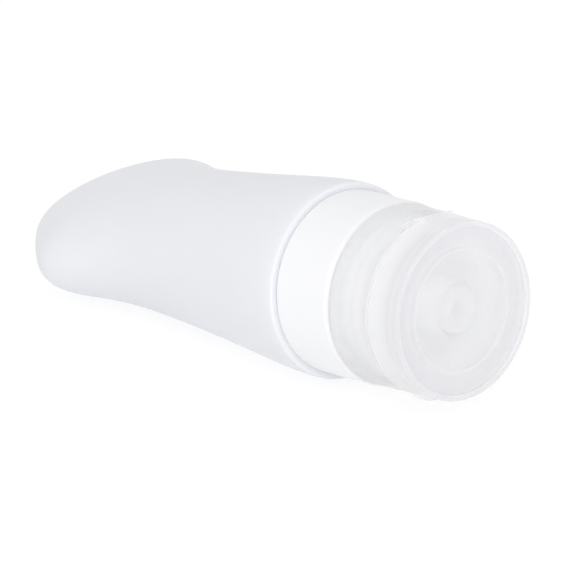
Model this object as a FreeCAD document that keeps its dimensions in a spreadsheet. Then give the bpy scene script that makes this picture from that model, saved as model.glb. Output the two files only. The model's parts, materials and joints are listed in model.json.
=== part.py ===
import FreeCAD, Part
import Sketcher
import math
import os

# A soft squeeze bottle with a white collar and a clear flip-top screw cap. It lies on the flat
# underside of its tapering body, cap end raised. Millimetres; +X towards the cap, +Z up, and the
# origin below the middle of the bottle, on the surface it lies on.
#
# Every piece is modelled on the bottle's own axis first: local Z runs towards the cap, local X is
# the wide way of the flattened tail, and local Z = 0 is where the soft body meets the collar.

Vector = FreeCAD.Vector
Rotation = FreeCAD.Rotation
Placement = FreeCAD.Placement

DIMENSIONS = (
    ("body_length", 110.0, "soft body, from the collar to the end of the tail"),
    ("shoulder_step", 1.7, "how far the round shoulder stands proud of the collar"),
    ("shoulder_round", 3.2, "depth of the shoulder's rounding"),
    ("hip_position", 14.0, "where the body starts to flatten"),
    ("hip_half_width", 22.7, "half width there"),
    ("hip_half_thickness", 21.95, "half thickness there"),
    ("waist_position", 24.2, "start of the waist"),
    ("waist_half_width", 21.75, "half width at the start of the waist"),
    ("waist_end_from_tail", 57.4, "narrowest place, measured from the tail"),
    ("waist_end_half_width", 21.1, "half width at the narrowest place"),
    ("flare_start_from_tail", 40.5, "where the tail starts to flare"),
    ("flare_start_half_width", 23.0, "half width there"),
    ("flare_from_tail", 28.5, "widest place, measured from the tail"),
    ("flare_half_width", 29.2, "half width of the control frame at the widest place"),
    ("flare_half_thickness", 12.95, "half thickness there"),
    ("paddle_from_tail", 17.5, "where the tail starts to round off"),
    ("paddle_half_width", 22.5, "half width there"),
    ("paddle_half_thickness", 11.2, "half thickness there"),
    ("tip_half_width", 8.9, "half width of the tail's end tangent"),
    ("tip_half_thickness", 3.0, "half thickness of the tail's end tangent"),
    ("soft_wall", 2.0, "silicone wall"),
    ("rest_flat", 0.3, "how far the soft underside is pressed flat where it lies"),
    ("neck_bore_radius", 15.3, "mouth of the bottle"),
    ("insert_wall", 1.8, "hard neck's wall"),
    ("fit_gap", 0.1, "clearance between pieces that stay together"),
    ("collar_wall", 1.9, "collar's wall at its rear edge"),
    ("collar_length", 17.0, "collar along the axis"),
    ("collar_draft", 0.2, "how much slimmer the collar is at its front"),
    ("collar_edge", 1.1, "rounding of the collar's front edge"),
    ("collar_lip", 1.2, "inward lip that holds the hard neck down"),
    ("flange_thickness", 1.4, "hard neck's flange on the soft neck"),
    ("barb_height", 1.1, "barb that hooks behind the soft shoulder"),
    ("barb_length", 1.5, "length of that barb"),
    ("neck_rise", 6.3, "hard neck above the collar"),
    ("thread_room", 1.5, "radial space for the screw threads"),
    ("liner_thickness", 1.0, "sealing ring between neck and cap"),
    ("liner_overhang", 0.5, "how far the ring reaches inside the mouth's rim"),
    ("liner_play", 0.05, "play of the loose ring below the deck"),
    ("skirt_wall", 1.7, "screw cap's wall at its top"),
    ("skirt_draft", 0.34, "how much wider the cap is at its lower edge"),
    ("skirt_gap", 0.4, "gap between the cap and the collar"),
    ("outer_edge", 0.2, "rounding of the cap's and the lid's outer edges"),
    ("deck_thickness", 1.6, "cap's deck"),
    ("seat_height", 3.5, "rim above the deck that the lid closes on"),
    ("parting_gap", 0.3, "gap between cap and closed lid"),
    ("locating_height", 2.2, "inner ring that centres the lid"),
    ("locating_wall", 1.0, "wall of that ring"),
    ("locating_gap", 0.35, "clearance between that ring and the lid"),
    ("nozzle_radius", 5.0, "outside of the nozzle"),
    ("nozzle_height", 5.2, "nozzle above the deck"),
    ("nozzle_bore", 3.4, "nozzle's bore"),
    ("valve_tube_wall", 0.8, "wall of the valve's tube"),
    ("valve_head", 1.0, "thickness of the slit head"),
    ("valve_drop", 0.3, "how far the slit head lies below the nozzle's lip"),
    ("valve_flange_radius", 6.3, "valve's flange"),
    ("valve_flange_thickness", 1.2, "thickness of that flange"),
    ("pocket_wall", 1.1, "wall of the pocket below the deck that holds the valve"),
    ("retainer_height", 1.4, "ring pressed in below the valve"),
    ("retainer_bore", 4.4, "bore of that ring"),
    ("lid_height", 9.1, "flip lid along the axis"),
    ("lid_draft", 0.3, "how much slimmer the lid is at its face"),
    ("rim_width", 1.3, "raised rim round the lid's face"),
    ("rim_height", 1.0, "how far the face lies below that rim"),
    ("rim_edge", 0.35, "rounding of the rim's edges"),
    ("lid_plate", 1.3, "thickness of the lid's face"),
    ("rib_radius", 13.4, "inside of the stiffening ring below the face"),
    ("rib_width", 0.8, "width of that ring"),
    ("rib_depth", 0.8, "depth of that ring"),
    ("plug_gap", 0.3, "clearance round the nozzle inside the lid's sealing ring"),
    ("plug_wall", 0.8, "wall of the sealing ring"),
    ("plug_overlap", 1.5, "how far the sealing ring reaches down the nozzle"),
    ("stud_radius", 2.0, "stud that keeps the valve's slits shut"),
    ("stud_gap", 0.3, "gap between the stud and the valve"),
    ("tab_reach", 1.5, "how far the thumb tab stands out"),
    ("tab_radius", 12.0, "curve of the thumb tab"),
    ("tab_height", 2.6, "thumb tab along the axis"),
    ("tab_taper", 1.4, "how much the tab draws in towards the face"),
    ("knuckle_radius", 1.6, "hinge knuckles"),
    ("knuckle_width", 6.0, "lid's knuckle along the hinge"),
    ("ear_width", 2.1, "each of the cap's two hinge ears"),
    ("ear_gap", 0.2, "side gap between knuckle and ear"),
    ("hinge_clear", 0.3, "clearance round the knuckles"),
    ("hinge_pin_radius", 0.75, "lid's two moulded hinge pins"),
    ("hinge_pin_gap", 0.07, "running clearance of those pins"),
    ("swing_half_width", 8.6, "half width of the cap's rim cut away for the lid's swing"),
    ("swing_depth", 1.8, "depth of that cut"),
    ("cap_turn", -16.0, "how far the thumb tab lies from straight down, in degrees"),
)

document = FreeCAD.newDocument("travel_bottle")
sheet = document.addObject("Spreadsheet::Sheet", "sizes")
for row_number, (alias, number, meaning) in enumerate(DIMENSIONS, start=1):
    sheet.set(f"A{row_number}", meaning)
    sheet.set(f"B{row_number}", str(number))
    sheet.setAlias(f"B{row_number}", alias)
document.recompute()


def size(alias):
    """The value of one driving dimension."""
    return float(sheet.get(alias))


def sheet_text(text):
    """An expression in which every alias is read from the sheet."""
    out = []
    for word in text.replace("(", " ( ").replace(")", " ) ").split():
        out.append("sizes." + word if word[0].isalpha() else word)
    return " ".join(out)


# Levels along the axis and radii that several pieces share, as expressions of the sheet's values.
SOFT_BORE = "( neck_bore_radius + insert_wall + fit_gap )"
SOFT_NECK = "( neck_bore_radius + insert_wall + fit_gap + soft_wall )"
COLLAR_BORE = "( neck_bore_radius + insert_wall + 2 * fit_gap + soft_wall )"
COLLAR_REAR = "( neck_bore_radius + insert_wall + 2 * fit_gap + soft_wall + collar_wall )"
SHOULDER = "( neck_bore_radius + insert_wall + 2 * fit_gap + soft_wall + collar_wall + shoulder_step )"
NECK_OUT = "( neck_bore_radius + insert_wall )"
SKIRT_BORE = "( neck_bore_radius + insert_wall + thread_room )"
CAP_RADIUS = "( neck_bore_radius + insert_wall + thread_room + skirt_wall )"
FLANGE_TOP = "( collar_length - collar_lip - fit_gap )"
SOFT_TOP = "( collar_length - collar_lip - 2 * fit_gap - flange_thickness )"
NECK_TOP = "( collar_length + neck_rise )"
DECK_UNDER = "( collar_length + neck_rise + liner_thickness )"
DECK_TOP = "( collar_length + neck_rise + liner_thickness + deck_thickness )"
SEAT = "( collar_length + neck_rise + liner_thickness + deck_thickness + seat_height )"
NOZZLE_TOP = "( collar_length + neck_rise + liner_thickness + deck_thickness + nozzle_height )"
LID_LOW = "( collar_length + neck_rise + liner_thickness + deck_thickness + seat_height + parting_gap )"
LID_TOP = f"( {LID_LOW} + lid_height )"
FACE = f"( {LID_TOP} - rim_height )"
FACE_UNDER = f"( {LID_TOP} - rim_height - lid_plate )"
LOCATING_OUT = "( neck_bore_radius + insert_wall + thread_room - fit_gap )"
LID_BORE = f"( {LOCATING_OUT} + locating_gap )"
POCKET_BORE = "( valve_flange_radius + fit_gap )"
HINGE_Y = f"( {CAP_RADIUS} - knuckle_radius )"
EAR_IN = "( knuckle_width / 2 + ear_gap )"
EAR_OUT = "( knuckle_width / 2 + ear_gap + ear_width )"


def bind(item, **expressions):
    """Tie properties of an object to the sheet and return the object."""
    for name, text in expressions.items():
        item.setExpression(name.replace("__", "."), sheet_text(text))
    return item


def turned(name, outline):
    """A body turned about the axis from a closed outline of (radius, height) expressions."""
    body = document.addObject("PartDesign::Body", name)
    plane = next(item for item in body.Origin.OriginFeatures if item.Role == "XZ_Plane")
    sketch = body.newObject("Sketcher::SketchObject", name + "_outline")
    sketch.AttachmentSupport = [(plane, "")]
    sketch.MapMode = "FlatFace"
    numbers = [(evaluate(radius), evaluate(height)) for radius, height in outline]
    count = len(numbers)
    for index in range(count):
        start = Vector(*numbers[index], 0)
        end = Vector(*numbers[(index + 1) % count], 0)
        sketch.addGeometry(Part.LineSegment(start, end), False)
    for index in range(count):
        sketch.addConstraint(Sketcher.Constraint("Coincident", index, 2, (index + 1) % count, 1))
    for index, (radius, height) in enumerate(outline):
        hold(sketch, index, "DistanceX", radius, numbers[index][0], -2)
        hold(sketch, index, "DistanceY", height, numbers[index][1], -1)
    feature = body.newObject("PartDesign::Revolution", name + "_turned")
    feature.Profile = sketch
    feature.ReferenceAxis = (sketch, ["V_Axis"])
    feature.Angle = 360.0
    sketch.Visibility = False
    document.recompute()
    return body


def hold(sketch, index, kind, text, number, axis):
    """Keep the start of one line at a distance from an axis of the sketch."""
    if text == "0":
        sketch.addConstraint(Sketcher.Constraint("PointOnObject", index, 1, axis))
        return
    place = sketch.addConstraint(Sketcher.Constraint(kind, -1, 1, index, 1, number))
    sketch.setExpression(f"Constraints[{place}]", sheet_text(text))


def evaluate(text):
    """The number that an expression of the sheet's values gives."""
    return float(sheet.evalExpression(sheet_text(text)))


def rounded(body, radius, chosen):
    """Fillet those edges of a body's tip for which chosen(edge) holds."""
    tip = body.Tip
    names = [f"Edge{number}" for number, edge in enumerate(tip.Shape.Edges, start=1) if chosen(edge)]
    fillet = body.newObject("PartDesign::Fillet", body.Name + f"_edges{len(body.Group)}")
    fillet.Base = (tip, names)
    bind(fillet, Radius=radius)
    document.recompute()
    return body


def circle_at(radius, height):
    """A test for the round edge of one radius at one height."""
    wanted_radius, wanted_height = evaluate(radius), evaluate(height)

    def test(edge):
        if not isinstance(edge.Curve, Part.Circle):
            return False
        same_radius = abs(edge.Curve.Radius - wanted_radius) < 1e-4
        return same_radius and abs(edge.Curve.Center.z - wanted_height) < 1e-4

    return test


def box(name, length, width, height, x, y, z):
    """A block whose low corner is at x, y, z."""
    item = document.addObject("Part::Box", name)
    bind(item, Length=length, Width=width, Height=height)
    return bind(item, Placement__Base__x=x, Placement__Base__y=y, Placement__Base__z=z)


def rod(name, radius, height, z):
    """A cylinder on the bottle's axis."""
    item = document.addObject("Part::Cylinder", name)
    return bind(item, Radius=radius, Height=height, Placement__Base__z=z)


def cross_rod(name, radius, length, start):
    """A cylinder on the hinge line, from start along local X."""
    item = document.addObject("Part::Cylinder", name)
    item.Placement = Placement(Vector(), Rotation(Vector(0, 1, 0), 90))
    bind(item, Radius=radius, Height=length)
    return bind(item, Placement__Base__x=start, Placement__Base__y=HINGE_Y, Placement__Base__z=SEAT)


def fused(name, items):
    """Several shapes joined into one."""
    item = document.addObject("Part::MultiFuse", name)
    item.Shapes = items
    return item


def cut(name, base, tool):
    """One shape with another taken away."""
    item = document.addObject("Part::Cut", name)
    item.Base = base
    item.Tool = tool
    return item


def body_frames():
    """Control frames of the soft body from front to tail: (distance back, half width, half thickness).

    The frames from the hip to the flare have their half thickness on one straight line, which gives
    the body the straight underside that it lies on.
    """
    length = size("body_length")
    soft_neck, shoulder = evaluate(SOFT_NECK), evaluate(SHOULDER)
    hip, flare = size("hip_position"), length - size("flare_from_tail")
    slope = (size("hip_half_thickness") - size("flare_half_thickness")) / (flare - hip)

    def straight(distance):
        return size("hip_half_thickness") - slope * (distance - hip)

    waist, waist_end = size("waist_position"), length - size("waist_end_from_tail")
    flare_start = length - size("flare_start_from_tail")
    middle = (soft_neck + shoulder) / 2
    frames = [
        (0, soft_neck, soft_neck),
        (0, middle, middle),
        (0, shoulder, shoulder),
        (size("shoulder_round"), shoulder, shoulder),
        (hip, size("hip_half_width"), straight(hip)),
        (waist, size("waist_half_width"), straight(waist)),
        (waist_end, size("waist_end_half_width"), straight(waist_end)),
        (flare_start, size("flare_start_half_width"), straight(flare_start)),
        (flare, size("flare_half_width"), straight(flare)),
        (length - size("paddle_from_tail"), size("paddle_half_width"), size("paddle_half_thickness")),
        (length, size("tip_half_width"), size("tip_half_thickness")),
        (length, 0, 0),
    ]
    return frames, slope


def cavity_frames(frames):
    """The same frames drawn in by the wall all round, for the inside of the body."""
    wall = size("soft_wall")
    length = size("body_length")
    inside = []
    for distance, width, thickness in frames:
        back = min(max(distance, wall), length - wall)
        share = min(1.0, thickness / (2 * wall))
        inside.append((back, max(width - wall * share, 0), max(thickness - wall * share, 0)))
    return inside


def frame_surface(frames):
    """A closed solid whose cross-sections are exact ellipses and whose long lines are cubic curves.

    Round each frame the nine control points of a rational quadratic ellipse are used, and along
    the body the frames are the control points of a clamped cubic spline.
    """
    corner = math.sqrt(0.5)
    ring = (
        (1, 0, 1), (1, 1, corner), (0, 1, 1), (-1, 1, corner), (-1, 0, 1),
        (-1, -1, corner), (0, -1, 1), (1, -1, corner), (1, 0, 1),
    )
    poles = [[Vector(x * a, y * b, -back) for back, a, b in frames] for x, y, weight in ring]
    weights = [[weight] * len(frames) for x, y, weight in ring]
    spans = len(frames) - 3
    surface = Part.BSplineSurface()
    surface.buildFromPolesMultsKnots(
        poles, [3, 2, 2, 2, 3], [4] + [1] * (spans - 1) + [4],
        [0, 1, 2, 3, 4], list(range(spans + 1)), False, False, 2, 3, weights,
    )
    front = frames[0]
    disc = Part.Face(Part.Wire([Part.makeCircle(front[1], Vector(0, 0, -front[0]))]))
    shell = Part.makeShell([surface.toShape(), disc])
    shell.sewShape()
    solid = Part.makeSolid(shell)
    if solid.Volume < 0:
        solid.reverse()
    return solid


def solid_feature(name, shape):
    """A document object that holds a shape."""
    item = document.addObject("Part::Feature", name)
    item.Shape = shape
    return item


def resting_ground(slope):
    """A block under the straight underside, reaching into it as far as the soft body is pressed flat."""
    tilt = math.atan(slope)
    inward = Vector(0, math.cos(tilt), math.sin(tilt))
    forward = Vector(0, -math.sin(tilt), math.cos(tilt))
    line_at_collar = size("hip_half_thickness") + slope * size("hip_position")
    width, length = size("flare_half_width"), size("body_length")
    ground = document.addObject("Part::Box", "resting_ground")
    bind(ground, Length="2 * flare_half_width", Width="flare_half_width", Height="2 * body_length")
    line_start = Vector(-width, -line_at_collar, 0)
    corner = line_start + inward * (size("rest_flat") - width) - forward * (1.5 * length)
    ground.Placement = Placement(corner, Rotation(Vector(1, 0, 0), math.degrees(tilt)))
    return ground


def make_squeeze_body():
    """The hollow silicone body: round at the shoulder, slim at the waist, a flat flared tail."""
    frames, slope = body_frames()
    outside = solid_feature("body_outside", frame_surface(frames))
    inside = solid_feature("body_inside", frame_surface(cavity_frames(frames)))
    neck = rod("soft_neck", SOFT_NECK, f"{SOFT_TOP} + soft_wall / 2", "-1 * soft_wall / 2")
    bore = rod("soft_bore", SOFT_BORE, f"{SOFT_TOP} + 3 * soft_wall", "-2 * soft_wall")
    whole = fused("body_and_neck", [outside, neck])
    taken = fused("body_hollow", [inside, bore, resting_ground(slope)])
    return cut("squeeze_body", whole, taken), slope


def make_neck_insert():
    """The hard white neck: barb behind the shoulder, flange on the soft neck, plain mouth."""
    root = "( -1 * soft_wall - fit_gap )"
    barb = "( neck_bore_radius + insert_wall + barb_height )"
    body = turned("neck_insert", (
        ("neck_bore_radius", f"{root} - barb_length"),
        (NECK_OUT, f"{root} - barb_length"),
        (barb, root),
        (NECK_OUT, root),
        (NECK_OUT, f"{SOFT_TOP} + fit_gap"),
        (SOFT_NECK, f"{SOFT_TOP} + fit_gap"),
        (SOFT_NECK, FLANGE_TOP),
        (NECK_OUT, FLANGE_TOP),
        (NECK_OUT, NECK_TOP),
        ("neck_bore_radius", NECK_TOP),
    ))
    return rounded(body, "insert_wall / 6", circle_at("neck_bore_radius", NECK_TOP))


def make_collar_ring():
    """The white collar: a slightly tapered ring with a rounded front edge and an inward lip."""
    front = f"( {COLLAR_REAR} - collar_draft )"
    body = turned("collar_ring", (
        (COLLAR_BORE, "0"),
        (COLLAR_REAR, "0"),
        (front, "collar_length"),
        (f"{NECK_OUT} + fit_gap", "collar_length"),
        (f"{NECK_OUT} + fit_gap", "collar_length - collar_lip"),
        (COLLAR_BORE, "collar_length - collar_lip"),
    ))
    rounded(body, "collar_edge", circle_at(front, "collar_length"))
    return rounded(body, "collar_edge / 4", circle_at(COLLAR_REAR, "0"))


def make_cap_liner():
    """The sealing ring that the screw cap presses on the neck's rim."""
    top = f"( {DECK_UNDER} - liner_play )"
    return turned("cap_liner", (
        ("neck_bore_radius - liner_overhang", NECK_TOP),
        (f"{SKIRT_BORE} - 2 * fit_gap", NECK_TOP),
        (f"{SKIRT_BORE} - 2 * fit_gap", top),
        ("neck_bore_radius - liner_overhang", top),
    ))


def make_valve():
    """The soft no-drip valve: flange, tube and a head that is slit crosswise."""
    head_top = f"( {NOZZLE_TOP} - valve_drop )"
    tube = "( nozzle_bore - fit_gap )"
    flange_low = f"( {DECK_UNDER} - valve_flange_thickness )"
    return turned("no_drip_valve", (
        (f"{tube} - valve_tube_wall", flange_low),
        ("valve_flange_radius", flange_low),
        ("valve_flange_radius", DECK_UNDER),
        (tube, DECK_UNDER),
        (tube, head_top),
        ("0", head_top),
        ("0", f"{head_top} - valve_head"),
        (f"{tube} - valve_tube_wall", f"{head_top} - valve_head"),
    ))


def make_retainer():
    """The ring pressed into the pocket below the valve."""
    top = f"( {DECK_UNDER} - valve_flange_thickness )"
    return turned("valve_retainer", (
        ("retainer_bore", f"{top} - retainer_height"),
        ("valve_flange_radius", f"{top} - retainer_height"),
        ("valve_flange_radius", top),
        ("retainer_bore", top),
    ))


def make_cap_base():
    """The clear screw cap: skirt, deck with nozzle and valve pocket, lid seat and hinge ears."""
    pocket_low = f"( {DECK_UNDER} - valve_flange_thickness - retainer_height )"
    low = "( collar_length + skirt_gap )"
    locating_in = f"( {LOCATING_OUT} - locating_wall )"
    shell = turned("cap_shell", (
        (SKIRT_BORE, low),
        (f"{CAP_RADIUS} + skirt_draft", low),
        (CAP_RADIUS, SEAT),
        (LOCATING_OUT, SEAT),
        (LOCATING_OUT, f"{SEAT} + locating_height"),
        (locating_in, f"{SEAT} + locating_height"),
        (locating_in, DECK_TOP),
        ("nozzle_radius", DECK_TOP),
        ("nozzle_radius", NOZZLE_TOP),
        ("nozzle_bore", NOZZLE_TOP),
        ("nozzle_bore", DECK_UNDER),
        (POCKET_BORE, DECK_UNDER),
        (POCKET_BORE, pocket_low),
        (f"{POCKET_BORE} + pocket_wall", pocket_low),
        (f"{POCKET_BORE} + pocket_wall", DECK_UNDER),
        (SKIRT_BORE, DECK_UNDER),
    ))
    rounded(shell, "rim_edge", circle_at("nozzle_radius", NOZZLE_TOP))
    rounded(shell, "rim_edge", circle_at(LOCATING_OUT, f"{SEAT} + locating_height"))
    rounded(shell, "outer_edge", circle_at(CAP_RADIUS, SEAT))
    rounded(shell, "outer_edge", circle_at(f"{CAP_RADIUS} + skirt_draft", low))
    knuckle_room = "( knuckle_radius + hinge_clear )"
    hinge_slot = box(
        "hinge_slot", f"2 * ( {EAR_OUT} + hinge_clear )", f"2 * {CAP_RADIUS}",
        "lid_height + seat_height", f"-1 * ( {EAR_OUT} + hinge_clear )",
        f"{HINGE_Y} - {knuckle_room}", DECK_TOP,
    )
    swing_slot = box(
        "swing_slot", "2 * swing_half_width", f"2 * {CAP_RADIUS}", "lid_height",
        "-1 * swing_half_width", f"{HINGE_Y} - knuckle_radius / 2", f"{SEAT} - swing_depth",
    )
    opened = cut("cap_opened", shell, fused("cap_slots", [hinge_slot, swing_slot]))
    ears = []
    for side, start in (("left", f"-1 * {EAR_OUT}"), ("right", EAR_IN)):
        ears.append(cross_rod(f"ear_{side}", "knuckle_radius", "ear_width", start))
        ears.append(box(
            f"ear_foot_{side}", "ear_width", "1.5 * knuckle_radius",
            "seat_height + deck_thickness / 2", start,
            f"{HINGE_Y} - knuckle_radius", f"{DECK_TOP} - deck_thickness / 2",
        ))
    pin_hole = cross_rod("pin_hole", "hinge_pin_radius + hinge_pin_gap", f"4 * {EAR_OUT}", f"-2 * {EAR_OUT}")
    return cut("cap_base", fused("cap_with_ears", [opened] + ears), pin_hole)


def make_flip_lid():
    """The clear lid: recessed face in a raised rim, sealing ring, thumb tab, knuckle and pins."""
    face_radius = f"( {CAP_RADIUS} - lid_draft )"
    plug_in = "( nozzle_radius + plug_gap )"
    plug_low = f"( {NOZZLE_TOP} - plug_overlap )"
    stud_low = f"( {NOZZLE_TOP} - valve_drop + stud_gap )"
    shell = turned("lid_shell", (
        ("0", FACE),
        (f"{face_radius} - rim_width", FACE),
        (f"{face_radius} - rim_width", LID_TOP),
        (face_radius, LID_TOP),
        (CAP_RADIUS, LID_LOW),
        (LID_BORE, LID_LOW),
        (LID_BORE, FACE_UNDER),
        ("rib_radius + rib_width", FACE_UNDER),
        ("rib_radius + rib_width", f"{FACE_UNDER} - rib_depth"),
        ("rib_radius", f"{FACE_UNDER} - rib_depth"),
        ("rib_radius", FACE_UNDER),
        (f"{plug_in} + plug_wall", FACE_UNDER),
        (f"{plug_in} + plug_wall", plug_low),
        (plug_in, plug_low),
        (plug_in, FACE_UNDER),
        ("stud_radius", FACE_UNDER),
        ("stud_radius", stud_low),
        ("0", stud_low),
    ))
    rounded(shell, "rim_edge", circle_at(face_radius, LID_TOP))
    rounded(shell, "rim_edge", circle_at(f"{face_radius} - rim_width", LID_TOP))
    rounded(shell, "outer_edge", circle_at(CAP_RADIUS, LID_LOW))
    tab = document.addObject("Part::Cone", "tab_form")
    bind(tab, Radius1="tab_radius", Radius2="tab_radius - tab_taper", Height="tab_height")
    bind(tab, Placement__Base__y=f"tab_radius - tab_reach - {CAP_RADIUS}", Placement__Base__z=LID_LOW)
    tab_core = rod("tab_core", LID_BORE, "2 * tab_height", f"{LID_LOW} - tab_height / 2")
    thumb_tab = cut("thumb_tab", tab, tab_core)
    ear_room = "( ear_width + ear_gap + hinge_clear )"
    ear_slots = []
    for side, start in (("left", f"-1 * knuckle_width / 2 - {ear_room}"), ("right", "knuckle_width / 2")):
        ear_slots.append(box(
            f"lid_slot_{side}", ear_room, "4 * knuckle_radius",
            "parting_gap + knuckle_radius + hinge_clear", start,
            f"{HINGE_Y} - 2 * knuckle_radius", SEAT,
        ))
    slotted = cut("lid_slotted", shell, fused("lid_slots", ear_slots))
    knuckle = cross_rod("lid_knuckle", "knuckle_radius", "knuckle_width", "-1 * knuckle_width / 2")
    web = box(
        "lid_web", "knuckle_width", "1.5 * knuckle_radius", "1.5 * knuckle_radius",
        "-1 * knuckle_width / 2", f"{HINGE_Y} - knuckle_radius", SEAT,
    )
    pin_end = f"( {EAR_OUT} - hinge_clear )"
    pins = cross_rod("lid_pins", "hinge_pin_radius", f"2 * {pin_end}", f"-1 * {pin_end}")
    return fused("flip_lid", [slotted, thumb_tab, knuckle, web, pins])


squeeze_body, underside_slope = make_squeeze_body()
on_bottle = [squeeze_body, make_neck_insert(), make_collar_ring()]
on_cap = [make_cap_liner(), make_valve(), make_retainer(), make_cap_base(), make_flip_lid()]
document.recompute()

# The bottle is laid down on its straight underside: its axis rises towards the cap by the slope of
# that line, and its side view is centred over the origin.
tilt = math.atan(underside_slope)
line_at_collar = size("hip_half_thickness") + underside_slope * size("hip_position")
lay_down = Rotation(Vector(0, 1, 0), Vector(-math.sin(tilt), 0, math.cos(tilt)),
                    Vector(math.cos(tilt), 0, math.sin(tilt)), "ZXY")
turn_cap = Placement(Vector(), Rotation(Vector(0, 0, 1), size("cap_turn")))


def place(shift):
    """Lay every piece down, with the bottle shifted along X."""
    height = line_at_collar * math.cos(tilt) - size("rest_flat")
    bottle_place = Placement(Vector(shift, 0, height), lay_down)
    for item in on_bottle:
        item.Placement = bottle_place
    for item in on_cap:
        item.Placement = bottle_place.multiply(turn_cap)
    document.recompute()


place(0)
reach = FreeCAD.BoundBox()
for item in on_bottle + on_cap:
    reach.add(item.Shape.optimalBoundingBox(False))
place(-(reach.XMin + reach.XMax) / 2)

pieces = {item.Name: item for item in on_bottle + on_cap}
for item in document.Objects:
    if "Invalid" in item.State or "Error" in item.State:
        raise RuntimeError(f"{item.Name} did not recompute: {item.State}")
os.makedirs("parts", exist_ok=True)
for name, item in pieces.items():
    item.Label = name
    if item.Shape.isNull() or not item.Shape.isValid():
        raise RuntimeError(f"{name} has no valid shape")
    item.Shape.exportStep(f"parts/{name}.step")
    print(name, round(item.Shape.Volume / 1000, 3), "cm3", len(item.Shape.Solids), "solid")
print("axis rises", round(math.degrees(tilt), 7), "degrees; shift", round(-(reach.XMin + reach.XMax) / 2, 6))
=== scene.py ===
import json
import math
import bpy
import numpy as np
from mathutils import Matrix, Vector


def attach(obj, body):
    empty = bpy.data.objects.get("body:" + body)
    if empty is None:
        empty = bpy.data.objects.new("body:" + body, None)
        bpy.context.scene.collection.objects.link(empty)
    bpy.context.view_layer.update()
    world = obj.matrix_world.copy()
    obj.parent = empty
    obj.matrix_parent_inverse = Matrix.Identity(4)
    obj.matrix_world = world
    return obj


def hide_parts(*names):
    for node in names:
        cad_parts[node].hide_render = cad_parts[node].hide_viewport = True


# The looks of a soft silicone travel bottle with a white collar and a clear flip-top screw cap.
# Metres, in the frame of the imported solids. Shapes are worked out on the bottle's own axis: x is the
# wide way of the flat tail, y its thin way, z runs towards the cap, and z = 0 is where the soft body
# meets the collar.

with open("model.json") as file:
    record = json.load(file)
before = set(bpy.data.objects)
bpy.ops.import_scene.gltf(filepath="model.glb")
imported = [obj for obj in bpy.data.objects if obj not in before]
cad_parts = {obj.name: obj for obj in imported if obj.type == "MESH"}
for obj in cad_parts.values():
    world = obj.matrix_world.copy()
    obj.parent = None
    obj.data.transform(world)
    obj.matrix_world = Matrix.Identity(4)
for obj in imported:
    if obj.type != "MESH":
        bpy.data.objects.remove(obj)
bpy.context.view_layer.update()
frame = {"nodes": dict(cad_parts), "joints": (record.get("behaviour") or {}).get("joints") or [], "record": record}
nodes = frame["nodes"]
joints = {joint["name"]: joint for joint in frame["joints"]}
MM = 0.001

# The bottle's own axes, read from the joint that the cap turns on and the collar's rear edge.
ALONG = np.array(joints["cap_turn"]["axis"])
ALONG = ALONG / np.linalg.norm(ALONG)
WIDE = np.array([0.0, 1.0, 0.0])
THIN = np.cross(ALONG, WIDE)
AXES = np.array([WIDE, THIN, ALONG])


def vertices_of(node):
    """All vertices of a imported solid, as rows of x, y, z in the row frame."""
    mesh = nodes[node].data
    flat = np.zeros(len(mesh.vertices) * 3, np.float32)
    mesh.vertices.foreach_get("co", flat)
    return flat.reshape(-1, 3).astype(float)


AXIS_POINT = np.array(joints["cap_turn"]["pos_m"])
COLLAR_REAR = ((vertices_of("collar_ring") - AXIS_POINT) @ ALONG).min()
ORIGIN = AXIS_POINT + COLLAR_REAR * ALONG


def into_row(points):
    """Points on the bottle's own axes, moved into the row frame."""
    return ORIGIN + np.asarray(points) @ AXES


def measure(node):
    """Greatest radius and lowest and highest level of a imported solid, on the bottle's own axis."""
    local = (vertices_of(node) - ORIGIN) @ AXES.T
    radius = np.hypot(local[:, 0], local[:, 1])
    return {"outer": radius.max(), "low": local[:, 2].min(), "high": local[:, 2].max()}


# Camera and studio. The three angles are in degrees, the distance and the point aimed at in metres,
# and the lens and its sensor in millimetres.

VIEW_AZIMUTH = 52.88
VIEW_ELEVATION = 30.48
VIEW_ROLL = 10.57
VIEW_DISTANCE = 0.7542
VIEW_AIM = Vector((0.0080, 0.0025, 0.0114))
VIEW_LENS = 200.67
SENSOR = 36.0


def make_camera():
    """The photo's viewing angle, with the small roll that the photo has."""
    azimuth, elevation, roll = (math.radians(a) for a in (VIEW_AZIMUTH, VIEW_ELEVATION, VIEW_ROLL))
    forward = Vector((
        -math.sin(azimuth) * math.cos(elevation),
        math.cos(azimuth) * math.cos(elevation),
        -math.sin(elevation),
    ))
    level_right = forward.cross(Vector((0, 0, 1))).normalized()
    level_up = level_right.cross(forward)
    up = level_up * math.cos(roll) + level_right * math.sin(roll)
    right = forward.cross(up)
    camera = bpy.data.objects.new("camera", bpy.data.cameras.new("camera"))
    camera.data.sensor_width = SENSOR
    camera.data.lens = VIEW_LENS
    place = VIEW_AIM - forward * VIEW_DISTANCE
    camera.matrix_world = Matrix.Translation(place) @ Matrix((right, up, -forward)).transposed().to_4x4()
    bpy.context.scene.collection.objects.link(camera)
    bpy.context.scene.camera = camera


# Material maths

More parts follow.
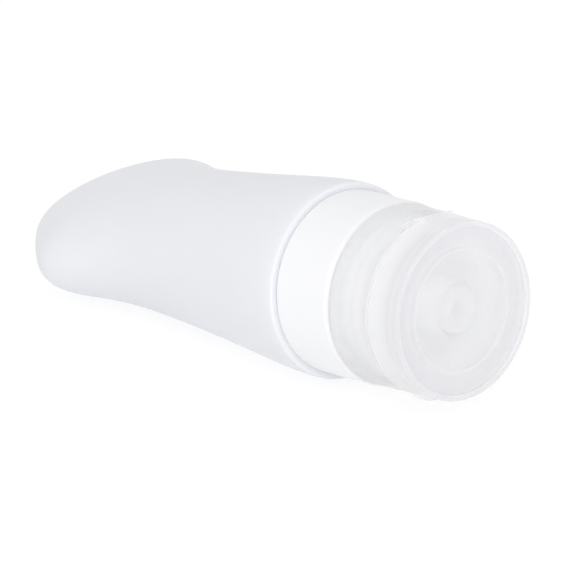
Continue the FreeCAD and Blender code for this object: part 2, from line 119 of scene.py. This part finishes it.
class Wire:
    """One output socket of a finish. +, -, *, / and ** on it add Math nodes."""

    def __init__(self, finish, socket):
        self.finish = finish
        self.socket = socket

    def math(self, operation, first, second):
        """One Math node on two values."""
        return self.finish.node("Math", {"operation": operation}, {0: first, 1: second})

    def __add__(self, other):
        return self.math("ADD", self, other)

    def __radd__(self, other):
        return self.math("ADD", other, self)

    def __sub__(self, other):
        return self.math("SUBTRACT", self, other)

    def __rsub__(self, other):
        return self.math("SUBTRACT", other, self)

    def __mul__(self, other):
        return self.math("MULTIPLY", self, other)

    def __rmul__(self, other):
        return self.math("MULTIPLY", other, self)

    def __truediv__(self, other):
        return self.math("DIVIDE", self, other)

    def __pow__(self, other):
        return self.math("POWER", self, other)


class Finish:
    """A material under construction."""

    def __init__(self, tree):
        self.tree = tree
        self.tree.nodes.clear()

    def node(self, kind, settings=None, inputs=None, output=0):
        """Add a node of any type: its settings first, then values or links for its sockets."""
        made = self.tree.nodes.new("ShaderNode" + kind)
        for name, value in (settings or {}).items():
            setattr(made, name, value)
        for name, value in (inputs or {}).items():
            if isinstance(value, Wire):
                self.tree.links.new(value.socket, made.inputs[name])
            else:
                made.inputs[name].default_value = value
        return Wire(self, made.outputs[output]) if made.outputs else None

    def place(self):
        """Object coordinates, which are the row frame because every piece sits at the origin."""
        return self.node("TexCoord", output="Object")

    def noise(self, size, detail=2.0):
        """Noise whose blotches are about size metres across."""
        return self.node("TexNoise", {}, {"Vector": self.place(), "Scale": 1 / size, "Detail": detail})

    def blend(self, factor, first, second):
        """A colour between two colours."""
        return self.node("Mix", {"data_type": "RGBA"}, {0: factor, 6: first, 7: second}, 2)

    def bump(self, height, distance):
        """A surface normal from a height from 0 to 1 that stands for distance metres."""
        return self.node("Bump", {}, {"Height": height, "Distance": distance})

    def along(self, direction):
        """How far a point lies from the middle of the collar's rear edge in one direction, in metres."""
        offset = self.node("VectorMath", {"operation": "SUBTRACT"}, {0: self.place(), 1: tuple(ORIGIN)})
        return self.node("VectorMath", {"operation": "DOT_PRODUCT"}, {0: offset, 1: tuple(direction)}, 1)

    def around(self):
        """How far a point lies from the bottle's axis, in metres."""
        across = self.node("CombineXYZ", {}, {"X": self.along(WIDE), "Y": self.along(THIN)})
        return self.node("VectorMath", {"operation": "LENGTH"}, {0: across}, 1)

    def streaks(self, size, stretch):
        """Noise drawn out along the bottle's axis: size metres across and stretch times as long."""
        drawn = self.node("CombineXYZ", {}, {
            "X": self.along(WIDE), "Y": self.along(THIN), "Z": self.along(ALONG) / stretch,
        })
        return self.node("TexNoise", {}, {"Vector": drawn, "Scale": 1 / size, "Detail": 2.0})

    def ramp(self, value, low, high):
        """0 where value is at or below low and 1 where it is at or above high, smooth between."""
        return self.node("MapRange", {"interpolation_type": "SMOOTHSTEP"}, {
            "Value": value, "From Min": low, "From Max": high,
        })

    def ridge(self, value, half_width):
        """1 on the line where value is 0, falling to 0 half_width away."""
        away = self.node("Math", {"operation": "ABSOLUTE"}, {0: value})
        return 1 - self.ramp(away, 0.0, half_width)


def new_finish(name):
    """An empty material and its finish."""
    material = bpy.data.materials.new(name)
    material.use_nodes = True
    return material, Finish(material.node_tree)


def surface_output(finish, shader):
    """Connect a shader to the material's output."""
    finish.node("OutputMaterial", {}, {"Surface": shader})


FULL_WHITE = (1, 1, 1, 1)

SILICONE_DEEP = (0.82, 0.833, 0.89, 1)
SILICONE_THIN = (0.845, 0.856, 0.905, 1)
# Painted light: the silicone's paler colour near the collar, where the white neck insert shines through, and how
# strongly and over which levels it is blended in.
SILICONE_PAINTED_GLOW = (0.88, 0.89, 0.92, 1)
PAINTED_GLOW_SHARE = 0.12
PAINTED_GLOW_LEVELS = (-16 * MM, -1 * MM)
MOULD_LINE_HALF_WIDTH = 0.12 * MM
MOULD_LINE_HEIGHT = 0.02 * MM
SKIN_SIZE = 0.25 * MM
SKIN_HEIGHT = 0.01 * MM


def silicone():
    """Milky silicone: soft and satin, with painted light that makes it a little paler towards the white collar,
    where the white neck insert shines through; a fine dry skin and the faint line that the halves of its mould
    leave along each side.
    """
    material, finish = new_finish("milky_silicone")
    haze = finish.noise(20 * MM, detail=3.0)
    bluish = finish.blend(haze, SILICONE_DEEP, SILICONE_THIN)
    # Painted light: paler towards the collar, where the white neck insert shines through the silicone.
    painted_glow = finish.ramp(finish.along(ALONG), *PAINTED_GLOW_LEVELS) * PAINTED_GLOW_SHARE
    colour = finish.blend(painted_glow, bluish, SILICONE_PAINTED_GLOW)
    mould_line = finish.ridge(finish.along(THIN), MOULD_LINE_HALF_WIDTH)
    normal = finish.bump(finish.noise(SKIN_SIZE), SKIN_HEIGHT)
    lined = finish.node("Bump", {}, {
        "Height": mould_line, "Distance": MOULD_LINE_HEIGHT, "Normal": normal,
    })
    shader = finish.node("BsdfPrincipled", {}, {
        "Base Color": colour,
        "Roughness": 0.42 + 0.12 * finish.noise(6 * MM, detail=3.0),
        "Normal": lined,
        "Subsurface Weight": 0.6,
        "Subsurface Radius": (0.9, 0.9, 1.0),
        "Subsurface Scale": 4 * MM,
        "IOR": 1.41,
        "Sheen Weight": 0.1,
        "Sheen Roughness": 0.4,
    })
    surface_output(finish, shader)
    return material


WHITE_LOW = (0.9, 0.904, 0.922, 1)
WHITE_HIGH = (0.925, 0.928, 0.943, 1)
# Painted shade on the collar's front edge, which tones down the highlight its rounded edge catches: the grey, its
# strength, and the levels and radii it covers.
COLLAR_EDGE_SHADE_GREY = (0.8, 0.803, 0.82, 1)
COLLAR_EDGE_SHADE_SHARE = 0.75
COLLAR_EDGE_SHADE_LEVELS = (16.0 * MM, 17.0 * MM)
COLLAR_SHADE_RADII = (18.5 * MM, 19.0 * MM)


def white_plastic():
    """White polypropylene: satin, a touch of light inside, fine moulding texture, and painted shade on the
    collar's front edge that tones down the highlight of its rounded edge.
    """
    material, finish = new_finish("white_polypropylene")
    even = finish.blend(finish.noise(12 * MM), WHITE_LOW, WHITE_HIGH)
    front_edge_shade = finish.ramp(finish.along(ALONG), *COLLAR_EDGE_SHADE_LEVELS)
    shade_on_collar = finish.ramp(finish.around(), *COLLAR_SHADE_RADII)
    # Painted shade: the collar's front edge is greyed to tone down its highlight.
    colour = finish.blend(COLLAR_EDGE_SHADE_SHARE * front_edge_shade * shade_on_collar, even, COLLAR_EDGE_SHADE_GREY)
    shader = finish.node("BsdfPrincipled", {}, {
        "Base Color": colour,
        "Roughness": 0.3 + 0.1 * finish.noise(3 * MM, detail=3.0),
        "Normal": finish.bump(finish.noise(0.6 * MM), 0.004 * MM),
        "Subsurface Weight": 0.25,
        "Subsurface Radius": (1.0, 1.0, 1.0),
        "Subsurface Scale": 1.5 * MM,
        "IOR": 1.49,
    })
    surface_output(finish, shader)
    return material


# The clear plastic: the share that shows what lies behind, the share of the rest that light from
# behind passes, and the gloss seen straight on and added at the edges.
CLEAR_SHARE = 0.5
PASSED_SHARE = 0.25
PASSED_COLOUR = (0.995, 0.995, 1.0, 1)
GLOSS_LEAST = 0.04
GLOSS_RISE = 0.25

# Places on the clear pieces, on the bottle's own axis: the rib and the raised rim round the lid's face, the line
# where the lid shuts on the cap, the skirt's edge, and where the lid is hollow. These places carry paler plastic,
# painted highlights and painted shade.
FACE_LEVEL = 36.3 * MM
FACE_RIB_RADIUS = 13.8 * MM
RIM_INNER_RADIUS = 18.8 * MM
RIM_OUTER_RADIUS = 20.2 * MM
RIM_LEVEL = 38.3 * MM
PARTING_LEVEL = 29.55 * MM
SKIRT_EDGE_LEVEL = 17.5 * MM
OUTSIDE_RADII = (19.6 * MM, 20.2 * MM)
HOLLOW_SHADE_RADII = (12 * MM, 17.5 * MM)
LEVEL_BLUR = 0.2 * MM
RIB_HALF_WIDTH = 0.7 * MM
RIM_EDGE_HALF_WIDTH = 0.25 * MM
SKIRT_EDGE_HALF_WIDTH = 0.5 * MM
PARTING_HALF_WIDTH = 0.8 * MM

# How strongly each of those places is paler or darker, and the colours they lead to: the rib is paler partly as
# thicker plastic and partly as a painted highlight, the rim's edges and the parting line carry painted highlights,
# the lid's hollow part has painted shade and the skirt's edge a painted dark line of shade. The rib and the hollow
# part are a little uneven: each has a least strength and what the cloud adds to it.
RIB_PALE_HIGHLIGHT = 0.1
RIB_PALE_HIGHLIGHT_CLOUD = 0.4
RIM_INNER_HIGHLIGHT = 0.5
RIM_OUTER_HIGHLIGHT = 0.15
PARTING_HIGHLIGHT = 0.2
HOLLOW_SHADE = 0.5
HOLLOW_SHADE_CLOUD = 0.5
SKIRT_EDGE_SHADE = 0.75
MILK_LOW = (0.989, 0.99, 0.999, 1)
MILK_HIGH = (0.997, 0.998, 1.0, 1)
HOLLOW_SHADE_COLOUR = (0.87, 0.87, 0.905, 1)
SKIRT_EDGE_SHADE_COLOUR = (0.68, 0.68, 0.71, 1)

# How much of the clear share is lost where the plastic is pale or carries painted highlights, under the painted
# shade over the lid's hollow part and at the skirt's edge, and how much of the hollow part's painted shade is lost
# on the outside.
PALE_HIGHLIGHT_HIDES = 0.7
HOLLOW_SHADE_HIDES = 0.3
SKIRT_EDGE_SHADE_HIDES = 0.8
OUTSIDE_LOSS = 0.7


def clear_plastic():
    """Clear polypropylene: a share of what lies behind shows through each surface, the rest is a milky haze, lit
    from the front and from behind, and the gloss rises towards the edges with the fifth power of how far a surface
    turns away. The rib is paler partly because the plastic is thicker there and partly as a painted highlight. The
    rim's edges and the line where the lid shuts carry painted highlights, the skirt's lower edge a painted dark
    line of shade, and the lid's hollow outer part painted shade that is a little darker and bluer.
    """
    material, finish = new_finish("clear_polypropylene")
    level = finish.along(ALONG)
    radius = finish.around()
    cloud = finish.noise(8 * MM, detail=3.0)
    outside = finish.ramp(radius, *OUTSIDE_RADII)
    on_face = finish.ramp(level, FACE_LEVEL - LEVEL_BLUR, FACE_LEVEL + LEVEL_BLUR)
    on_rim = finish.ramp(level, RIM_LEVEL - LEVEL_BLUR, RIM_LEVEL + LEVEL_BLUR)
    # The rib is paler partly as thicker plastic and partly as a painted highlight.
    rib = finish.ridge(radius - FACE_RIB_RADIUS, RIB_HALF_WIDTH) * on_face
    # Painted shade: a dark line along the skirt's lower edge, where the gap and the thick clear edge look dark.
    skirt_edge_shade = finish.ridge(level - SKIRT_EDGE_LEVEL, SKIRT_EDGE_HALF_WIDTH) * outside
    # Painted highlights on the rim's inner and outer edges.
    rim = (RIM_INNER_HIGHLIGHT * finish.ridge(radius - RIM_INNER_RADIUS, RIM_EDGE_HALF_WIDTH)
           + RIM_OUTER_HIGHLIGHT * finish.ridge(radius - RIM_OUTER_RADIUS, RIM_EDGE_HALF_WIDTH)) * on_rim
    # Painted highlight along the line where the lid shuts, which also lightens the shade in that groove.
    parting_highlight = finish.ridge(level - PARTING_LEVEL, PARTING_HALF_WIDTH)
    pale_and_highlight = finish.node("Math", {"operation": "MINIMUM"}, {
        0: (RIB_PALE_HIGHLIGHT + RIB_PALE_HIGHLIGHT_CLOUD * cloud) * rib + rim + PARTING_HIGHLIGHT * parting_highlight, 1: 1.0,
    })
    # Painted shade over the lid's hollow outer part, with less of it on the outside.
    hollow = on_face * finish.ramp(radius, *HOLLOW_SHADE_RADII) * (1 - OUTSIDE_LOSS * outside)
    milk = finish.blend(cloud, MILK_LOW, MILK_HIGH)
    # Painted shade: darker and bluer over the lid's hollow part.
    hollow_shaded = finish.blend(hollow * (HOLLOW_SHADE + HOLLOW_SHADE_CLOUD * cloud), milk, HOLLOW_SHADE_COLOUR)
    # Blend towards white: paler plastic and painted highlights.
    paler = finish.blend(pale_and_highlight, hollow_shaded, FULL_WHITE)
    # Painted shade on the skirt's lower edge.
    colour = finish.blend(SKIRT_EDGE_SHADE * skirt_edge_shade, paler, SKIRT_EDGE_SHADE_COLOUR)
    uneven = finish.noise(2.5 * MM) + 0.3 * finish.streaks(0.6 * MM, 12.0)
    normal = finish.bump(uneven, 0.02 * MM)
    haze = finish.node("BsdfPrincipled", {}, {
        "Base Color": colour, "Roughness": 0.5, "Specular IOR Level": 0.0, "Normal": normal,
    })
    passed = finish.node("BsdfTranslucent", {}, {"Color": PASSED_COLOUR, "Normal": normal})
    milky = finish.node("MixShader", {}, {0: PASSED_SHARE, 1: haze, 2: passed})
    behind = finish.node("BsdfTransparent", {}, {"Color": FULL_WHITE})
    clear = (CLEAR_SHARE * (1 - PALE_HIGHLIGHT_HIDES * pale_and_highlight) * (1 - HOLLOW_SHADE_HIDES * hollow)
             * (1 - SKIRT_EDGE_SHADE_HIDES * skirt_edge_shade))
    wall = finish.node("MixShader", {}, {0: clear, 1: milky, 2: behind})
    facing = finish.node("LayerWeight", {}, {"Blend": 0.5, "Normal": normal}, "Facing")
    gloss = finish.node("BsdfGlossy", {}, {
        "Color": FULL_WHITE,
        "Roughness": 0.1 + 0.06 * finish.noise(4 * MM, detail=3.0),
        "Normal": normal,
    })
    shine = GLOSS_LEAST + GLOSS_RISE * facing ** 5.0
    surface_output(finish, finish.node("MixShader", {}, {0: shine, 1: wall, 2: gloss}))
    return material


SEAL_LOW = (0.93, 0.935, 0.945, 1)
SEAL_HIGH = (0.955, 0.957, 0.965, 1)


def soft_seal():
    """Pale soft seal of the valve and the liner."""
    material, finish = new_finish("soft_seal")
    cloud = finish.noise(4 * MM)
    shader = finish.node("BsdfPrincipled", {}, {
        "Base Color": finish.blend(cloud, SEAL_LOW, SEAL_HIGH),
        "Roughness": 0.5 + 0.1 * cloud,
        "Normal": finish.bump(finish.noise(0.4 * MM), 0.01 * MM),
        "Subsurface Weight": 0.4,
        "Subsurface Radius": (1.0, 1.0, 1.0),
        "Subsurface Scale": 2 * MM,
    })
    surface_output(finish, shader)
    return material


SHOWN_WHITE = 0.75
WORLD_LEVEL = 0.8
FLOOR_HALF_WIDTH = 3.0
FLOOR_GREY = (0.92, 0.92, 0.92, 1)
FLOOR_GLOW = 1.08
LAMP_AIM = Vector((0, 0, 20 * MM))


def seen_directly(finish):
    """1 for rays from the camera and for rays that a reflection or a clear piece passes on."""
    path = {name: finish.node("LightPath", {}, {}, name)
            for name in ("Is Camera Ray", "Is Glossy Ray", "Is Transmission Ray")}
    total = path["Is Camera Ray"] + path["Is Glossy Ray"] + path["Is Transmission Ray"]
    return finish.node("Math", {"operation": "MINIMUM"}, {0: total, 1: 1.0})


def make_floor():
    """A white floor that still shows the bottle's soft shadow."""
    half = FLOOR_HALF_WIDTH
    corners = [(-half, -half, 0), (half, -half, 0), (half, half, 0), (-half, half, 0)]
    mesh = bpy.data.meshes.new("floor")
    mesh.from_pydata(corners, [], [(0, 1, 2, 3)])
    floor = bpy.data.objects.new("floor", mesh)
    bpy.context.scene.collection.objects.link(floor)
    material, finish = new_finish("floor_white")
    matte = finish.node("BsdfDiffuse", {}, {"Color": FLOOR_GREY})
    white = finish.node("Emission", {}, {"Color": FULL_WHITE, "Strength": FLOOR_GLOW})
    shown = finish.node("MixShader", {}, {0: seen_directly(finish) * SHOWN_WHITE, 1: matte, 2: white})
    surface_output(finish, shown)
    mesh.materials.append(material)


def make_world():
    """White surroundings to look at, and a plainer grey level for the light they give."""
    world = bpy.data.worlds.new("studio")
    bpy.context.scene.world = world
    world.use_nodes = True
    finish = Finish(world.node_tree)
    level = WORLD_LEVEL + (1.0 - WORLD_LEVEL) * seen_directly(finish)
    background = finish.node("Background", {}, {"Color": FULL_WHITE, "Strength": level})
    finish.node("OutputWorld", {}, {"Surface": background})


def make_lamp(name, place, width, height, power):
    """A soft box at place that faces the bottle: its sides in metres, its power in watts."""
    lamp = bpy.data.lights.new(name, "AREA")
    lamp.shape = "RECTANGLE"
    lamp.size = width
    lamp.size_y = height
    lamp.energy = power
    item = bpy.data.objects.new(name, lamp)
    direction = LAMP_AIM - Vector(place)
    item.matrix_world = Matrix.Translation(place) @ direction.to_track_quat("-Z", "Y").to_matrix().to_4x4()
    bpy.context.scene.collection.objects.link(item)


# Surfaces

def mesh_piece(name, points, faces, material, sharp=40.0):
    """A mesh object from points in the row frame and faces, turned so that its faces point outwards.
    An edge that bends by more than sharp degrees is drawn sharp.
    """
    corners = points[faces[:, :3]]
    volume = np.einsum("ij,ij->i", corners[:, 0], np.cross(corners[:, 1], corners[:, 2])).sum()
    if faces.shape[1] == 4:
        rest = points[faces[:, [0, 2, 3]]]
        volume += np.einsum("ij,ij->i", rest[:, 0], np.cross(rest[:, 1], rest[:, 2])).sum()
    if volume < 0:
        faces = faces[:, ::-1]
    mesh = bpy.data.meshes.new(name)
    mesh.from_pydata(points.tolist(), [], [tuple(dict.fromkeys(face)) for face in faces.tolist()])
    mesh.shade_smooth()
    mesh.set_sharp_from_angle(angle=math.radians(sharp))
    mesh.materials.append(material)
    piece = bpy.data.objects.new(name, mesh)
    bpy.context.scene.collection.objects.link(piece)
    return piece


def grid_faces(rows, columns):
    """Quads of a grid whose columns close on themselves."""
    row, column = np.meshgrid(np.arange(rows - 1), np.arange(columns), indexing="ij")
    row, column = row.ravel(), column.ravel()
    below, beside = row + 1, (column + 1) % columns
    return np.stack([
        row * columns + column, row * columns + beside, below * columns + beside, below * columns + column,
    ], axis=1)


# The soft body, as control frames from front to tail: distance back, half width, half thickness. The
# straight underside runs from the hip to the flare. These first values are in millimetres.
HIP_BACK = 14.0
HIP_HALF_THICKNESS = 21.95
FLARE_BACK = 81.5
FLARE_HALF_THICKNESS = 12.95
FLAT_SLOPE = (HIP_HALF_THICKNESS - FLARE_HALF_THICKNESS) / (FLARE_BACK - HIP_BACK)


def on_underside(back):
    """Half thickness on the straight underside, in millimetres."""
    return HIP_HALF_THICKNESS - FLAT_SLOPE * (back - HIP_BACK)


BODY_FRAMES = MM * np.array([
    (0, 19.2, 19.2),
    (0, 21.6, 21.6),
    (0, 22.65, 22.65),
    (0.6, 22.8, 22.8),
    (4.5, 22.85, 22.85),
    (HIP_BACK, 22.7, on_underside(HIP_BACK)),
    (24.2, 21.75, on_underside(24.2)),
    (52.6, 21.1, on_underside(52.6)),
    (69.5, 23.0, on_underside(69.5)),
    (FLARE_BACK, 29.2, on_underside(FLARE_BACK)),
    (92.5, 22.5, 11.2),
    (110, 8.9, 3.0),
    (110, 0, 0),
])
SOFT_WALL = 2.0 * MM

# The soft neck ends this far below the hard neck's rim, under that neck's flange and the collar's lip.
SOFT_NECK_BELOW_RIM = 9.1 * MM
SOFT_NECK_EDGE = 0.2 * MM

# How gently the skin bends where the floor presses it flat, and the rings and the points round them.
PRESSED_SOFTNESS = 0.04 * MM
BODY_STEPS = 150
ROUND_COUNT = 224


def spline_weights(count, steps):
    """Weights of a clamped cubic spline's control points at even steps (Cox and de Boor's rule).

    A weight of degree p is the share ((t - k_i) / (k_i+p - k_i)) of the one before it in degree and
    the share ((k_i+p+1 - t) / (k_i+p+1 - k_i+1)) of its neighbour.
    """
    spans = count - 3
    knots = np.concatenate([np.zeros(3), np.arange(spans + 1), np.full(3, spans)])
    place = np.linspace(0, spans * (1 - 1e-9), steps)[:, None]
    weights = ((knots[:-1] <= place) & (place < knots[1:])).astype(float)
    for degree in (1, 2, 3):
        low, high = knots[:-degree - 1], knots[degree + 1:]
        width_low = knots[degree:-1] - low
        width_high = high - knots[1:-degree]
        rise = np.where(width_low > 0, (place - low) / np.maximum(width_low, 1e-12), 0)
        fall = np.where(width_high > 0, (high - place) / np.maximum(width_high, 1e-12), 0)
        weights = rise * weights[:, :-1] + fall * weights[:, 1:]
    return weights


def drawn_in(frames, wall):
    """Control frames of the cavity: the body's own, drawn in by the wall, or by half the frame's own
    half thickness where that is less, and kept a wall away from both ends.
    """
    back = np.clip(frames[:, 0], wall, frames[-1, 0] - wall)
    share = np.minimum(1.0, frames[:, 2] / (2 * wall))
    return np.stack([
        back, np.maximum(frames[:, 1] - wall * share, 0), np.maximum(frames[:, 2] - wall * share, 0),
    ], axis=1)


def make_soft_body(material):
    """The hollow body: each ring is the ellipse (a cos u, b sin u, -d), where a, b and d follow the
    control frames as a clamped cubic spline, once for the outside and once for the cavity. The soft
    neck joins the two. Below the floor the skin is pressed flat.
    """
    outside = spline_weights(len(BODY_FRAMES), BODY_STEPS) @ BODY_FRAMES
    inside = spline_weights(len(BODY_FRAMES), BODY_STEPS) @ drawn_in(BODY_FRAMES, SOFT_WALL)
    neck_top = measure("neck_insert")["high"] - SOFT_NECK_BELOW_RIM
    edge = SOFT_NECK_EDGE
    neck_out, neck_in = BODY_FRAMES[0, 1], BODY_FRAMES[0, 1] - SOFT_WALL
    neck = np.array([
        (-edge, neck_out, neck_out),
        (-neck_top + edge, neck_out, neck_out),
        (-neck_top, neck_out - edge, neck_out - edge),
        (-neck_top, neck_in + edge, neck_in + edge),
        (-neck_top + edge, neck_in, neck_in),
        (-edge, neck_in, neck_in),
    ])
    rings = np.concatenate([outside[::-1], neck, inside])[1:-1]
    turn = np.linspace(0, 2 * math.pi, ROUND_COUNT, endpoint=False)
    points = np.stack([
        np.outer(rings[:, 1], np.cos(turn)),
        np.outer(rings[:, 2], np.sin(turn)),
        np.repeat(-rings[:, :1], ROUND_COUNT, axis=1),
    ], axis=-1)
    tips = np.array([(0, 0, -BODY_FRAMES[-1, 0]), (0, 0, -BODY_FRAMES[-1, 0] + SOFT_WALL)])
    placed = into_row(np.concatenate([points.reshape(-1, 3), tips]))
    placed[:, 2] = 0.5 * (placed[:, 2] + np.sqrt(placed[:, 2] ** 2 + PRESSED_SOFTNESS ** 2))
    rows = len(rings)
    quads = grid_faces(rows, ROUND_COUNT)
    column = np.arange(ROUND_COUNT)
    beside = (column + 1) % ROUND_COUNT
    last = (rows - 1) * ROUND_COUNT
    first_tip = np.full(ROUND_COUNT, rows * ROUND_COUNT)
    fan = np.stack([first_tip, first_tip, beside, column], axis=1)
    end_fan = np.stack([first_tip + 1, first_tip + 1, last + column, last + beside], axis=1)
    piece = mesh_piece("soft_body", placed, np.concatenate([quads, fan, end_fan]), material)
    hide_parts("squeeze_body")
    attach(piece, "bottle")


# The screw thread: its rise a turn is the cap's, and the two ribs lie half a rise apart.
PITCH = frame["record"]["behaviour"]["couplings"][0]["ratio"] * 2 * math.pi
THREAD_START = 18.2 * MM
NECK_THREAD_TURNS = (0.0, 1.3)
CAP_THREAD_TURNS = (-0.38, 0.76)
NECK_THREAD_RADII = (17.05 * MM, 18.15 * MM)
CAP_THREAD_RADII = (18.65 * MM, 17.5 * MM)
THREAD_ROOT_WIDTH = 1.3 * MM
THREAD_CREST_WIDTH = 0.6 * MM
THREAD_EDGE = 0.12 * MM
THREAD_RUN_OUT_TURNS = 25 / 360
THREAD_LEAST_HEIGHT = 0.02
THREAD_STEPS = 160


def make_thread(name, turns, radii, start, material, body):
    """A screw rib: the point at turn t and profile place (r, w) is
    (r cos 2 pi t, r sin 2 pi t, start + pitch t + w). The profile is a trapezium from the root radius
    to the crest radius, and the crest sinks to the root over the first and last 25 degrees.
    """
    first, last = turns
    turn = np.linspace(first, last, THREAD_STEPS)
    run_out = np.minimum(turn - first, last - turn) / THREAD_RUN_OUT_TURNS
    height = np.clip(run_out, THREAD_LEAST_HEIGHT, 1)
    height = height * height * (3 - 2 * height)
    root, crest = radii
    edge = THREAD_EDGE * np.sign(crest - root)
    profile_radius = np.array([0, 1, 1, 1, 1, 0]) * (crest - root) - np.array([0, 1, 0, 0, 1, 0]) * edge
    half_root, half_crest = THREAD_ROOT_WIDTH / 2, THREAD_CREST_WIDTH / 2
    profile_level = np.array([
        -half_root, -half_crest, -half_crest / 2, half_crest / 2, half_crest, half_root,
    ])
    radius = root + height[:, None] * profile_radius
    angle = 2 * math.pi * turn[:, None]
    level = start + PITCH * turn[:, None] + profile_level
    points = np.stack([radius * np.cos(angle), radius * np.sin(angle), level], axis=-1)
    count = len(profile_radius)
    end_quads = np.array([[0, 1, 2, 3], [0, 3, 4, 5]])
    ends = np.concatenate([end_quads[:, ::-1], (THREAD_STEPS - 1) * count + end_quads])
    faces = np.concatenate([grid_faces(THREAD_STEPS, count), ends])
    piece = mesh_piece(name, into_row(points.reshape(-1, 3)), faces, material, sharp=50.0)
    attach(piece, body)


# The no-drip valve: flange, tube and a head with a cross slit. Its flange's radius and its two ends
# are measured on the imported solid. The bore, tube and thicknesses are the solid's, written again.
VALVE_BORE = 2.5 * MM
VALVE_TUBE = 3.3 * MM
VALVE_FLANGE_THICKNESS = 1.2 * MM
VALVE_HEAD_THICKNESS = 1.0 * MM
SLIT_REACH = 2.3 * MM
SLIT_WIDTH = 0.3 * MM
SLIT_DEPTH = 0.45 * MM
SLIT_FADE = 0.4 * MM
VALVE_EDGE = 0.1 * MM
HEAD_RING_RADII = MM * np.array([0.12, 0.3, 0.6, 1.0, 1.5, 1.9, 2.1, 2.3, 2.6, 3.0, 3.2])
GROOVE_SHARE = 0.4
GROOVE_STEPS = 7
SPREAD_STEPS = 9


def make_slit_valve(material):
    """A turned form whose head has four grooves: at radius r the columns of each quarter, numbered by
    u from -1 to 1, stand at the angle asin(s / r) * |u| / v inside the groove, where |u| is under v
    and s is half the slit's width, and spread evenly from there to 45 degrees. The groove is
    depth * (1 - |u| / v) deep and fades out where the slit ends.
    """
    size = measure("no_drip_valve")
    flange, low, high = size["outer"], size["low"], size["high"]
    flange_top, head_low = low + VALVE_FLANGE_THICKNESS, high - VALVE_HEAD_THICKNESS
    edge = VALVE_EDGE
    top_rings = [(radius, high) for radius in HEAD_RING_RADII]
    rings = np.array(top_rings + [
        (VALVE_TUBE, high - edge),
        (VALVE_TUBE, flange_top + edge),
        (VALVE_TUBE + edge, flange_top),
        (flange - edge, flange_top),
        (flange, flange_top - edge),
        (flange, low + edge),
        (flange - edge, low),
        (VALVE_BORE, low),
        (VALVE_BORE, head_low),
        (HEAD_RING_RADII[0], head_low),
    ])
    groove = GROOVE_SHARE
    place = np.concatenate([
        np.linspace(-1, -groove, SPREAD_STEPS)[:-1],
        np.linspace(-groove, groove, GROOVE_STEPS),
        np.linspace(groove, 1, SPREAD_STEPS)[1:-1],
    ])
    half_angle = np.arcsin(np.clip(SLIT_WIDTH / 2 / rings[:, :1], 0, math.sin(groove * math.pi / 4)))
    inside = np.abs(place) / groove
    outside = half_angle + (math.pi / 4 - half_angle) * (np.abs(place) - groove) / (1 - groove)
    angle = np.sign(place) * np.where(inside <= 1, half_angle * inside, outside)
    angle = np.concatenate([angle + quarter * math.pi / 2 for quarter in range(4)], axis=1)
    depth = SLIT_DEPTH * np.clip(1 - inside, 0, 1)
    on_top = np.arange(len(rings)) < len(top_rings)
    fade = np.clip((SLIT_REACH - rings[:, 0]) / SLIT_FADE, 0, 1) * on_top
    level = rings[:, 1:] - np.tile(depth, 4) * fade[:, None]
    radius = rings[:, :1]
    points = np.stack([radius * np.cos(angle), radius * np.sin(angle), level], axis=-1)
    count = points.shape[1]
    tips = np.array([(0, 0, high - SLIT_DEPTH), (0, 0, head_low)])
    column = np.arange(count)
    beside = (column + 1) % count
    tip = np.full(count, len(rings) * count)
    last = (len(rings) - 1) * count
    faces = np.concatenate([
        grid_faces(len(rings), count),
        np.stack([tip, tip, beside, column], axis=1),
        np.stack([tip + 1, tip + 1, last + column, last + beside], axis=1),
    ])
    piece = mesh_piece("slit_valve", into_row(np.concatenate([points.reshape(-1, 3), tips])), faces, material)
    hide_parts("no_drip_valve")
    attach(piece, "screw_cap")


make_camera()
make_floor()
make_world()
make_lamp("key", (0.67, -0.51, 0.66), width=0.9, height=0.9, power=3.7)
make_lamp("fill", (0.0, -0.95, 0.16), width=0.7, height=0.3, power=0.3)

bpy.context.scene.view_settings.view_transform = "Standard"

# Light crosses many clear and milky walls, one behind the other, so it may bounce often.
bpy.context.scene.cycles.transparent_max_bounces = 32
bpy.context.scene.cycles.diffuse_bounces = 32
bpy.context.scene.cycles.max_bounces = 48

silicone_material = silicone()
white_material = white_plastic()
clear_material = clear_plastic()
seal_material = soft_seal()
for node, material in (
    ("squeeze_body", silicone_material), ("neck_insert", white_material),
    ("collar_ring", white_material), ("valve_retainer", white_material),
    ("cap_liner", seal_material), ("no_drip_valve", seal_material),
    ("cap_base", clear_material), ("flip_lid", clear_material),
):
    nodes[node].data.materials.clear()
    nodes[node].data.materials.append(material)

make_soft_body(silicone_material)
make_slit_valve(seal_material)
make_thread("neck_thread", NECK_THREAD_TURNS, NECK_THREAD_RADII, THREAD_START, white_material,
            "bottle")
make_thread("cap_thread", CAP_THREAD_TURNS, CAP_THREAD_RADII, THREAD_START + PITCH / 2, clear_material,
            "screw_cap")
